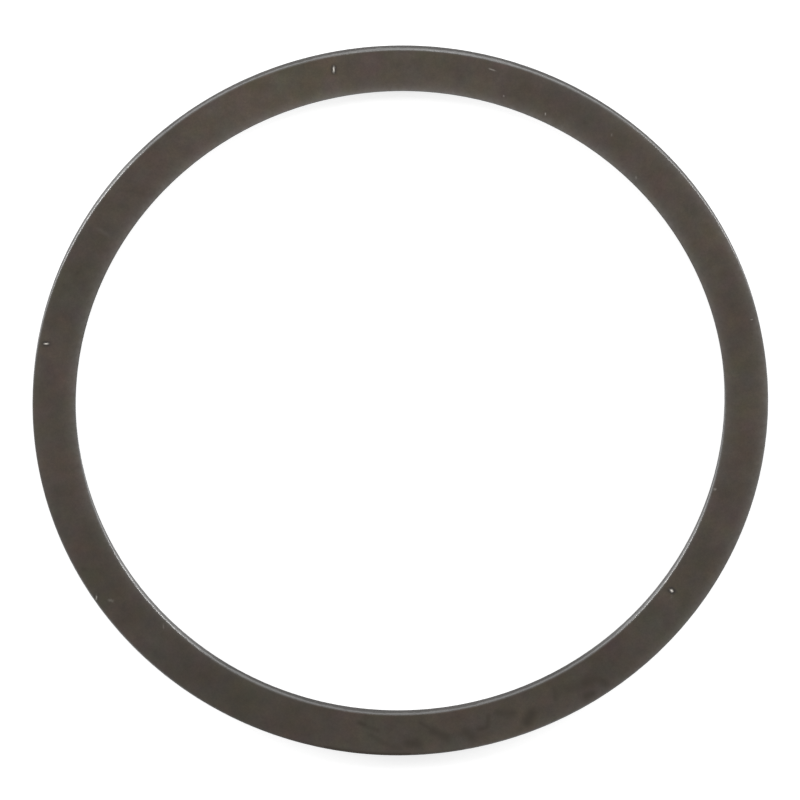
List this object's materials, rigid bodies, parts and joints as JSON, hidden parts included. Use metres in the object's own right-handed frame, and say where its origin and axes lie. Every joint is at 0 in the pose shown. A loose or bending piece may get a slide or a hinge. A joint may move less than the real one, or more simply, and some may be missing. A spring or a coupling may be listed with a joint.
{
  "type": "shim ring",
  "caption": "Thin flat steel ring with a plain round bore and softened edges, a spacer that takes up end play on a shaft or in a housing.",
  "frame": {"origin": "centre of the bore, in the plane of the back face that the ring lies on", "axes": "+Z along the bore axis, out of the front face; +X and +Y lie in the plane of the ring, and as the ring is round they point no special way"},
  "size_m": [0.068, 0.068, 0.0015],
  "materials": {
    "dark_steel": "satin"
  },
  "bodies": {
    "root": {"shim_ring": "dark_steel"}
  },
  "joints": []
}
